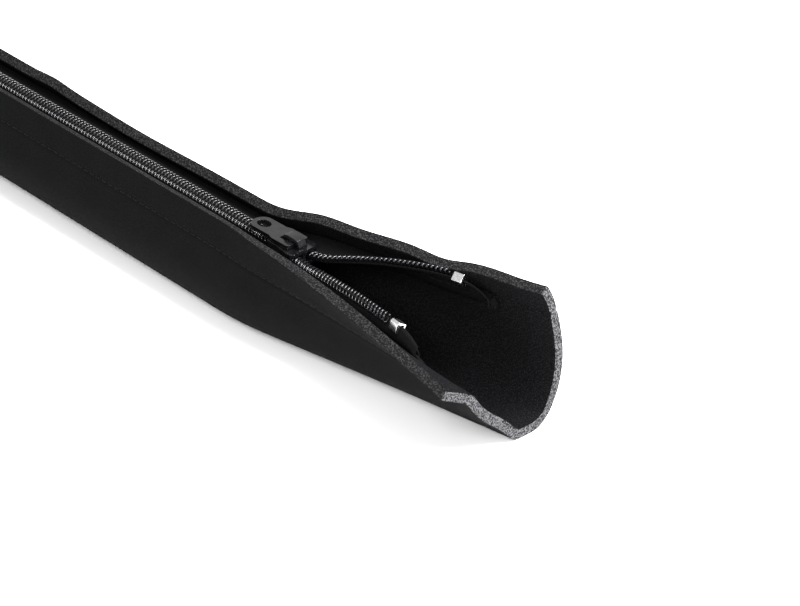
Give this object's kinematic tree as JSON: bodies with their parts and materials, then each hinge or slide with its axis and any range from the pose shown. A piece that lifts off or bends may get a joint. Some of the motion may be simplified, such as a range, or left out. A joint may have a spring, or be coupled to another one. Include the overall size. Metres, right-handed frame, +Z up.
{
  "type": "zippered cable sleeve",
  "caption": "Black foam cable sleeve, a sheet rolled into a tube and closed along the top by a coil zip with a slider and pull tab, shown opened near its mouth.",
  "frame": {"origin": "on the surface that the sleeve lies on, under the closed chain, 40 mm behind the front end of the slider", "axes": "+X along the tube towards its open mouth, +Y across it towards the far cut edge, +Z up through the zip"},
  "size_m": [0.4999, 0.0438, 0.0439],
  "materials": {
    "sleeve": "knit-faced foam rubber, matt black, with grey spongy cut edges",
    "tape": "woven polyester tape, matt black",
    "coil": "coiled nylon monofilament, black, glossy",
    "stop": "bare bright metal clips",
    "slider": "die-cast zinc with glossy black paint"
  },
  "bodies": {
    "sleeve": {"neoprene_sleeve": "sleeve", "zip_tape_near": "tape", "zip_tape_far": "tape", "coil_near": "coil", "coil_far": "coil", "top_stop_near": "stop", "top_stop_far": "stop", "bottom_stop": "stop"},
    "slider": {"slider_body": "slider"},
    "pull": {"pull_tab": "slider"}
  },
  "joints": [
    {"name": "slider_slide", "type": "slide", "parent": "sleeve", "child": "slider", "axis": [-1, 0, 0], "range_m": [0, 0.38], "deforming": ["coil_near", "coil_far", "zip_tape_near", "zip_tape_far"]},
    {"name": "pull_hinge", "type": "hinge", "parent": "slider", "child": "pull", "pos_m": [0.0364, 0, 0.03146], "axis": [0, 1, 0], "range_deg": [0, 170]}
  ]
}
